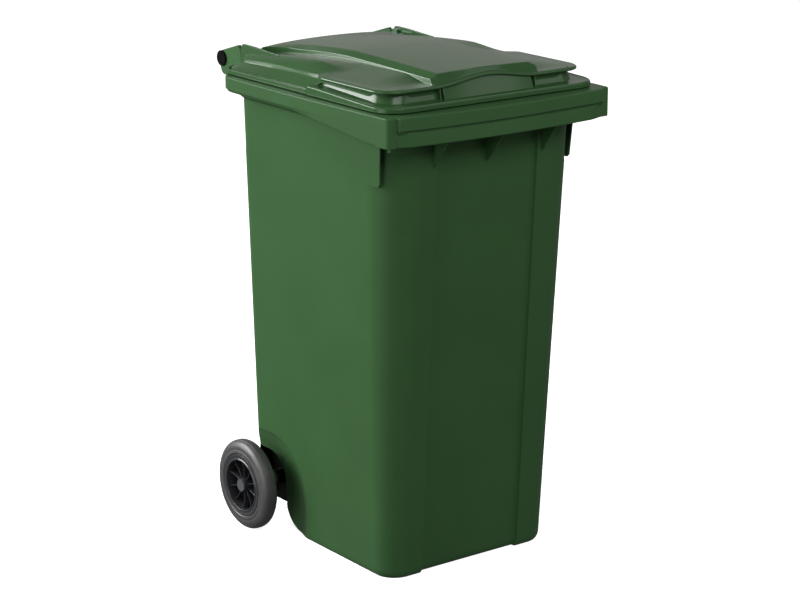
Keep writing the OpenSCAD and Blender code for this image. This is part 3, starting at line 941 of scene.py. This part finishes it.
def lid_rings():
    """Rings from the deck outwards, down to the bottom edge, and back inside to the deck's underside."""
    base = LID_BOTTOM
    lip = [
        (lip_at(21.5, 0), rear_at(56, under_deck(0))),
        (lip_at(20.5, 0), rear_at(51, under_deck(0))),
        (lip_at(6, 0), rear_at(47, under_deck(0))),
        (lip_at(3, 0.4), rear_at(43.5, under_deck(0))),
        (lip_at(1.2, 1.4), rear_at(40, under_deck(0.1))),
        (lip_at(0.2, 2.9), rear_at(37.5, under_deck(0.4))),
        (lip_at(0, 4.6), rear_at(35.5, under_deck(0.9))),
        (lip_at(0.5, 6.2), rear_at(33.5, wall_share(0.1))),
        (lip_at(2.2, 7.4), rear_at(31.5, wall_share(0.2))),
        ((246, -296, 58, under_deck(6.9)), rear_at(28, wall_share(0.38))),
        ((245, -295, 62, under_deck(8.4)), rear_at(14, wall_share(0.94))),
    ]
    skirt = [
        ((245, -294.5, 62, above_skirt(2)), rear_at(11.4, fixed(1013.6))),
        ((248, -298, 58, above_skirt(-1)), rear_at(9.8, fixed(1010.6))),
        ((254.5, -305, 53, above_skirt(-1.8)), rear_at(8.8, fixed(1009.4))),
        (skirt_at(7, 48, above_skirt(-1.4)), rear_at(7.2, fixed(1009.4))),
        (skirt_at(4.8, 50, above_skirt(-0.4)), rear_at(6.2, fixed(1010.8))),
        (skirt_at(3.6, 51, above_skirt(0)), rear_at(5.2, fixed(1014))),
        (skirt_at(1.2, 53, above_skirt(-1.6)), rear_at(1.0, fixed(1014.6))),
        (skirt_at(0.3, 54, above_skirt(-2.8)), rear_at(0.2, fixed(1014))),
        (skirt_at(0, 54, above_skirt(-3.8)), rear_at(0, fixed(1013.2))),
        (skirt_at(0, 54, fixed(base + 0.8)), rear_at(0, fixed(base + 0.8))),
        (skirt_at(0.8, 53, fixed(base)), rear_at(0.8, fixed(base))),
        (skirt_at(3, 51, fixed(base)), rear_at(3, fixed(base))),
        (skirt_at(3, 51, above_skirt(-5)), rear_at(3, fixed(1006.6))),
        ((253, -303, 50, above_skirt(-5)), rear_at(11, fixed(1006.6))),
        ((248, -298, 50, above_skirt(-3)), rear_at(14.5, fixed(1010))),
    ]
    underside = [
        ((242, -292, 50, under_deck(8.5)), rear_at(22, fixed(1014.5))),
        ((238, -296, 48, under_deck(4)), rear_at(44, under_deck(9))),
        ((233, -297.5, 44, under_deck(3)), rear_at(58, under_deck(3))),
    ]
    stretches = [(lip, LIP_END), (skirt, SKIRT_END), (underside, LIP_END)]
    return [lid_ring(front, rear, shift) for rows, shift in stretches for front, rear in rows]


def grid_faces(start):
    """Faces of a grid of points, from the number of its first point."""
    columns = len(GRID_X)
    firsts = [start + r * columns + c for r in range(len(GRID_Y) - 1) for c in range(columns - 1)]
    return [(a, a + 1, a + columns + 1, a + columns) for a in firsts]


def lid_shell():
    """The lid's skin: a grid for the top, rings round it, and a grid for the underside."""
    thickness = 3
    lines = [(x, y) for y in GRID_Y for x in GRID_X]
    points = [(grid_x(x, y), y, top_height(x, y)) for x, y in lines]
    place = {line: i for i, line in enumerate(lines)}
    edge = [place[(x, y)] for _, x, y in boundary()]
    faces = grid_faces(0)
    rings = [edge]
    for ring in lid_rings():
        rings.append(list(range(len(points), len(points) + len(ring))))
        points += ring
    start = len(points)
    points += [(grid_x(x, y), y, top_height(x, y) - thickness) for x, y in lines]
    rings.append([start + i for i in edge])
    faces += [(a, d, c, b) for a, b, c, d in grid_faces(start)]
    for pair in zip(rings, rings[1:]):
        faces += [(a, d, c, b) for a, b, c, d in band(*pair)]
    return make_object("lid_shell", points, faces)


def grip_panel():
    """Slanted panel under the raised front edge, where fingers go."""
    half, low = 113, 1012
    rings = []
    for x in spaced((-half, half, 24)):
        top = DECK + grip_arch(x, LIP_EDGE_FRONT) - 4.5
        outline = [(-296, low), (-311, low), (-309.5, low + 4), (-299.5, top), (-292, top)]
        rings.append([(x, y, z) for y, z in outline])
    return bevel(solid(rings), 1.2)


def grip_rib(x):
    """Small upright rib beside the grip panel."""
    low, top, half = 1012, DECK - 5, 1.2
    outline = [(-296, low), (-309, low), (-306, low + 6), (-303.5, top), (-294, top)]
    return prism_x(outline, x - half, x + half, edge=0.5)


def strap():
    """Arm of the lid that holds the hinge pin between the handle's plates."""
    top = hinge.z + 30
    outline = [(222, 1026), (232, top), (hinge.y - 76, top)]
    outline += arc(hinge.y, hinge.z, ARM_RADIUS - 0.2, 82, -82, 18)
    outline += [(hinge.y - 60, hinge.z - 3), (262, 1012), (244, 1012)]
    return prism_x(outline, STRAP_INNER, STRAP_OUTER, edge=1.2)


def strap_flank():
    """Thin web outside the strap, from the notch beside the handle's arm down to the deck."""
    upper_edge = [(134, 1040), (141, 1050), (203, 1053.6), (227, 1055.2), (268, 1056.2)]
    notch = [(hinge.y - 80, hinge.z + 40.5), (hinge.y - 71, hinge.z + 27), (hinge.y - 77, hinge.z)]
    outline = [(236, 1016)] + upper_edge + notch + [(272, 1014), (244, 1012)]
    return prism_x(outline, ARM_OUTER - 5, ARM_OUTER, edge=0.8)


def strap_link():
    """Block that joins the strap to its web at the notch."""
    outline = [(258, 1014), (262, hinge.z + 35), (hinge.y - 81, hinge.z + 36), (hinge.y - 75, hinge.z + 27),
               (hinge.y - 77, hinge.z + 20), (272, 1014)]
    return prism_x(outline, STRAP_OUTER - 1, ARM_OUTER - 2, edge=0.8)


def lid_piece():
    """The whole moulded lid."""
    rib_place = 121
    lid = lid_shell()
    join(lid, grip_panel(), grip_rib(-rib_place), grip_rib(rib_place), *both(strap), *both(strap_flank),
         *both(strap_link))
    cut(lid, *both(lambda: bore(hinge.y, hinge.z, STRAP_INNER - 2, 210, PIN_BORE)))
    return smooth(lid, 38)


# ------ wheels

WHEEL_OUTER = wheel_high.x
WHEEL_INNER = wheel_low.x
WHEEL_RADIUS = tyre_high.z - wheel.z
RIM_RING = 71
DISH_RADIUS = 56
HUB_RADIUS = 14.5
HUB_END = WHEEL_OUTER - 4
RIB_COUNT = 10


def tyre():
    """Solid rubber tyre with a stepped sidewall and shallow grooves round the tread."""
    middle = (WHEEL_OUTER + WHEEL_INNER) / 2
    scale = WHEEL_RADIUS / 100
    sidewall = [(19, 71.2), (19.3, 72.5), (19.2, 76), (18.4, 78.2), (17.9, 79.2), (18.2, 80.6), (18.4, 84),
                (17.2, 88.4), (14.9, 92.8)]
    tread = [(14.4, 93.3), (14.1, 94.2), (11.4, 97.1), (8.2, 98.9), (7.8, 98.5), (7.2, 98.5), (6.8, 99.4),
             (3.4, 99.95), (0, 100)]
    half = [(x, radius * scale) for x, radius in sidewall + tread]
    profile = [(middle + x, radius) for x, radius in half]
    profile += [(middle - x, radius) for x, radius in reversed(half[:-1])]
    profile += [(middle - 14, 66), (middle + 14, 66)]
    return smooth(revolve_x("tyre_ring_right", wheel.y, wheel.z, profile, 128), 50)


def wheel_dish():
    """Hub, web and ring of the wheel, turned as one."""
    outer, inner = WHEEL_OUTER, WHEEL_INNER
    web, step, bore_radius, bed = inner + 10, inner + 6, 10.1, 66.5
    inner_hub = [(inner, bore_radius), (inner, HUB_RADIUS, 1, 2), (step, HUB_RADIUS, 2, 2)]
    inner_ring = [(step, DISH_RADIUS + 1.5, 3, 3), (inner + 2, DISH_RADIUS + 2.5, 1, 2),
                  (inner + 2, RIM_RING, 1, 2), (step, RIM_RING, 1, 2), (inner + 9, bed)]
    outer_ring = [(outer - 9, bed), (outer - 5, 69.3), (outer - 1.2, 69.3, 1, 2),
                  (outer - 0.6, 66, 2, 2), (outer - 1.6, 63.5, 1.5, 2), (outer - 1.6, 60.5, 1.5, 2),
                  (outer, 58.5, 1, 2), (outer, DISH_RADIUS, 1.5, 3)]
    outer_hub = [(web, DISH_RADIUS - 2, 4, 4), (web, HUB_RADIUS + 1.5, 3, 3), (HUB_END, HUB_RADIUS, 0.8, 2),
                 (HUB_END, bore_radius)]
    profile = rounded(inner_hub + inner_ring + outer_ring + outer_hub)
    return revolve_x("wheel_disc_right", wheel.y, wheel.z, profile, 96)


def wheel_rib(index):
    """One thin radial rib whose free edge dips between the hub and the ring."""
    angle = 2 * math.pi * (index + 0.5) / RIB_COUNT
    across, along = math.sin(angle), math.cos(angle)
    start, end, steps = HUB_RADIUS - 2, DISH_RADIUS + 1, 8
    deepest, half = 1.5, 0.8
    outline = []
    for step in range(steps + 1):
        t = step / steps
        dip = deepest * math.sin(math.pi * t) ** 2
        outline.append((mix(HUB_END - 6, WHEEL_OUTER - 6, t) - dip, mix(start, end, t)))
    outline += [(WHEEL_INNER + 8, end), (WHEEL_INNER + 8, start)]
    rings = []
    for offset in (-half, half):
        rings.append([(x, wheel.y + radius * along - offset * across,
                       wheel.z + radius * across + offset * along) for x, radius in outline])
    return bevel(solid(rings), 0.35, segments=1, angle=50)


def wheel_disc():
    """The whole wheel rim with its ribs."""
    disc = wheel_dish()
    join(disc, *[wheel_rib(index) for index in range(RIB_COUNT)])
    return smooth(disc, 35)


# ------ materials

class Shader:
    """A new material, with the nodes that feed its shader."""

    def __init__(self, name):
        self.material = bpy.data.materials.new(name)
        self.material.use_nodes = True
        self.tree = self.material.node_tree
        self.place = self.node("TexCoord").outputs["Object"]

    def feed(self, node, **values):
        """Sets a node's inputs, each to a constant or to another node's output."""
        for name, value in values.items():
            socket = node.inputs[name.replace("_", " ")]
            if isinstance(value, bpy.types.NodeSocket):
                self.tree.links.new(value, socket)
            else:
                socket.default_value = value
        return node

    def node(self, kind, **values):
        """Adds a node and sets its inputs."""
        return self.feed(self.tree.nodes.new("ShaderNode" + kind), **values)

    def finish(self, **values):
        """Sets the shader's own inputs and gives back the material."""
        self.feed(self.tree.nodes["Principled BSDF"], **values)
        return self.material

    def noise(self, scale, detail=4.0, roughness=0.55):
        node = self.node("TexNoise", Vector=self.place, Scale=scale, Detail=detail, Roughness=roughness)
        return node.outputs["Fac"]

    def ramp(self, value, *stops):
        """Colour between two (position, colour) stops."""
        node = self.node("ValToRGB", Fac=value)
        for element, (position, colour) in zip(node.color_ramp.elements, stops):
            element.position = position
            element.color = (*colour, 1.0)
        return node.outputs["Color"]

    def bump(self, height, strength, distance, **below):
        node = self.node("Bump", Height=height, Strength=strength, Distance=distance, **below)
        return node.outputs["Normal"]

    def fade(self, value, start, end):
        """0 before the start and 1 after the end, in millimetres, with a soft change between."""
        node = self.node("MapRange", Value=value, From_Min=start * MM, From_Max=end * MM)
        node.interpolation_type = "SMOOTHSTEP"
        return node.outputs["Result"]

    def maths(self, operation, *values):
        node = self.node("Math")
        node.operation = operation
        for value, socket in zip(values, node.inputs):
            self.tree.links.new(value, socket)
        return node.outputs["Value"]


def grey(value):
    return (value, value, value)


def scaled(colour, factor):
    return tuple(c * factor for c in colour)


def plastic(name, colour, roughness, specular=0.5, painted_shade=None):
    """Moulded plastic: slight colour flow, fine grain, gentle waviness and uneven gloss, and painted shade where a
    mask is given.
    """
    spread = 0.06
    shader = Shader(name)
    flow = shader.noise(5.0, detail=5.0)
    tint = shader.ramp(flow, (0.3, scaled(colour, 1 - spread)), (0.7, scaled(colour, 1 + spread)))
    # Painted shade: the mask mixes a near-black colour into the tint where the wheel wells lie in shadow.
    if painted_shade is not None:
        tint = shader.node("MixRGB", Fac=painted_shade(shader), Color1=tint, Color2=(*WELL_SHADE_COLOUR, 1.0)).outputs["Color"]
    gloss = shader.noise(26.0, detail=6.0, roughness=0.65)
    uneven = shader.ramp(gloss, (0.25, grey(roughness * 0.93)), (0.75, grey(roughness * 1.07)))
    wavy = shader.bump(shader.noise(3.2, detail=2.0), 0.35, 0.0004)
    fine = shader.bump(shader.noise(900.0, detail=2.0), 0.2, 0.00003, Normal=wavy)
    return shader.finish(Base_Color=tint, Roughness=uneven, Normal=fine, Specular_IOR_Level=specular)


def rubber(name, colour):
    """Rubber with faint dust and moulding grain."""
    dusty = tuple(c * 1.35 + 0.004 for c in colour)
    shader = Shader(name)
    dust = shader.noise(22.0, detail=6.0, roughness=0.6)
    tint = shader.ramp(dust, (0.35, colour), (0.75, dusty))
    uneven = shader.ramp(dust, (0.3, grey(0.36)), (0.8, grey(0.5)))
    fine = shader.bump(shader.noise(700.0, detail=3.0), 0.4, 0.00012)
    return shader.finish(Base_Color=tint, Roughness=uneven, Normal=fine)


def metal(name, colour, roughness):
    """Zinc-plated or plain steel with drawing marks and dull patches."""
    shader = Shader(name)
    patches = shader.noise(60.0, detail=5.0)
    tint = shader.ramp(patches, (0.3, scaled(colour, 0.8)), (0.7, colour))
    uneven = shader.ramp(patches, (0.3, grey(roughness * 1.3)), (0.7, grey(roughness * 0.8)))
    scratches = shader.bump(shader.noise(1400.0, detail=2.0), 0.3, 0.00006)
    return shader.finish(Base_Color=tint, Roughness=uneven, Normal=scratches, Metallic=1.0)


def floor_material():
    """Plain pale studio floor, which glows a little so that it stays white."""
    shader = Shader("studio_floor")
    tint = shader.ramp(shader.noise(1.5), (0.3, grey(0.84)), (0.7, grey(0.86)))
    return shader.finish(Base_Color=tint, Roughness=0.9, Emission_Color=(1.0, 1.0, 1.0, 1.0),
                         Emission_Strength=0.86)


def wheel_well_painted_shade(shader):
    """Mask of painted shade, which darkens the colour to near black deep inside the two wheel wells, where shadow
    falls.
    """
    split = shader.node("SeparateXYZ", Vector=shader.place)
    x, y, z = (split.outputs[axis] for axis in "XYZ")
    across = shader.maths("ABSOLUTE", x)
    front, top = WELL_Y - WELL_RADIUS, WELL_Z + WELL_RADIUS
    limits = [(across, 207, 198), (across, 168, 172), (y, front - 4, front + 6),
              (y, TUB_REAR - 2, TUB_REAR - 6), (z, top + 3, top - 3)]
    painted_shade, *others = [shader.fade(*limit) for limit in limits]
    for other in others:
        painted_shade = shader.maths("MULTIPLY", painted_shade, other)
    return painted_shade


# Near-black colour of the painted shade deep in the wheel wells
WELL_SHADE_COLOUR = (0.0022, 0.003, 0.0018)
GREEN = (0.036, 0.092, 0.033)
LID_GREEN = (0.029, 0.079, 0.026)
# What makes each slot's material: its colour, roughness and level of gloss, and where painted shade darkens it
RECIPES = {
    # The tub's green gets painted shade deep in its wheel wells.
    "green_plastic": (plastic, GREEN, 0.34, 0.09, wheel_well_painted_shade),
    "lid_plastic": (plastic, LID_GREEN, 0.23, 0.27),
    "black_plastic": (plastic, (0.004, 0.003, 0.003), 0.55, 0.02),
    "wheel_plastic": (plastic, (0.031, 0.032, 0.035), 0.26, 0.4),
    "cap_plastic": (plastic, (0.058, 0.06, 0.062), 0.5),
    "tyre_rubber": (rubber, (0.045, 0.045, 0.044)),
    "zinc_steel": (metal, (0.6, 0.6, 0.57), 0.35),
    "washer_steel": (metal, (0.55, 0.55, 0.53), 0.38),
    "pin_steel": (metal, (0.55, 0.55, 0.55), 0.3),
    "spring_steel": (metal, (0.4, 0.4, 0.4), 0.3),
}
MATERIALS = {name: make(name, *looks) for name, (make, *looks) in RECIPES.items()}


def finish_piece(obj, slot, body, *nodes):
    """Gives a piece its material and says which body it rides on and which CAD nodes it stands for."""
    obj.data.materials.clear()
    obj.data.materials.append(MATERIALS[slot])
    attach(obj, body)
    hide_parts(*nodes)


# ------ pieces

finish_piece(tub_body(), "green_plastic", "tub", "body")
finish_piece(lid_piece(), "lid_plastic", "lid", "lid")
for make, part, slot in ((tyre, "tyre", "tyre_rubber"), (wheel_disc, "wheel_rim", "wheel_plastic")):
    right = make()
    left = mirrored(right)
    left.name = right.name.replace("right", "left")
    finish_piece(right, slot, "wheel_right", f"{part}_right")
    finish_piece(left, slot, "wheel_left", f"{part}_left")

for row in frame["record"]["subparts"]:
    node = frame["nodes"][row["node"]]
    if node.hide_render:
        continue
    node.data.materials.clear()
    node.data.materials.append(MATERIALS[row["material_slot"]])


# ------ studio

def area_light(name, place, target, size, power, colour=(1, 1, 1)):
    """Rectangular light at a place in metres, aimed at a target, that the camera doesn't see."""
    data = bpy.data.lights.new(name, "AREA")
    data.shape = "RECTANGLE"
    data.size, data.size_y = size
    data.energy = power
    data.color = colour
    light = bpy.data.objects.new(name, data)
    bpy.context.scene.collection.objects.link(light)
    light.location = place
    light.visible_camera = False
    light.rotation_mode = "QUATERNION"
    light.rotation_quaternion = (Vector(target) - Vector(place)).to_track_quat("-Z", "Y")


def studio_floor():
    """Wide floor just under the wheels, which neither shows in the gloss nor lights the bin."""
    reach, level = 14000, -0.5
    corners = [(-reach, -reach), (reach, -reach), (reach, reach), (-reach, reach)]
    floor = make_object("floor", [(x, y, level) for x, y in corners], [(0, 1, 2, 3)])
    floor.data.materials.append(floor_material())
    floor.visible_glossy = False
    floor.visible_diffuse = False


def studio():
    """Soft lights round the bin and a weak even light from everywhere."""
    studio_floor()
    middle = (0, 0, 0.6)
    area_light("key", (-3.3, 3.0, 2.25), middle, (3.0, 2.5), 350)
    area_light("side_fill", (-5.2, -0.4, 1.2), middle, (3.0, 3.0), 90)
    area_light("backdrop", (3.6, 4.8, 2.6), (0, 0, 1.0), (7.0, 3.2), 21, (1.0, 0.92, 0.93))
    area_light("top", (1.7, -0.9, 4.0), (0, 0, 1.0), (2.4, 1.8), 12)
    area_light("front_card", (3.0, -4.0, 1.85), (0, 0, 0.9), (3.2, 1.6), 26)
    area_light("front_fill", (-0.8, -3.7, 3.6), (0, 0, 0.7), (3.0, 2.0), 115)
    world = bpy.data.worlds.new("studio")
    world.use_nodes = True
    background = world.node_tree.nodes["Background"]
    background.inputs["Color"].default_value = (1.0, 1.0, 1.0, 1.0)
    background.inputs["Strength"].default_value = 0.15
    bpy.context.scene.world = world
    bpy.context.scene.view_settings.view_transform = "Standard"


def camera():
    """Camera at the reference viewing angle, aimed at the middle of the bin."""
    azimuth, elevation = math.radians(-36.696), math.radians(15.722)
    distance = 5.0908
    target = Vector((-0.0002, -0.0093, 0.51907))
    level = math.cos(elevation)
    back = Vector((math.sin(azimuth) * level, -math.cos(azimuth) * level, math.sin(elevation)))
    data = bpy.data.cameras.new("camera")
    data.sensor_fit = "HORIZONTAL"
    data.sensor_width = 36
    data.lens = 106.525
    data.clip_end = 60
    obj = bpy.data.objects.new("camera", data)
    bpy.context.scene.collection.objects.link(obj)
    obj.location = target + back * distance
    obj.rotation_mode = "QUATERNION"
    obj.rotation_quaternion = (-back).to_track_quat("-Z", "Y")
    bpy.context.scene.camera = obj


studio()
camera()
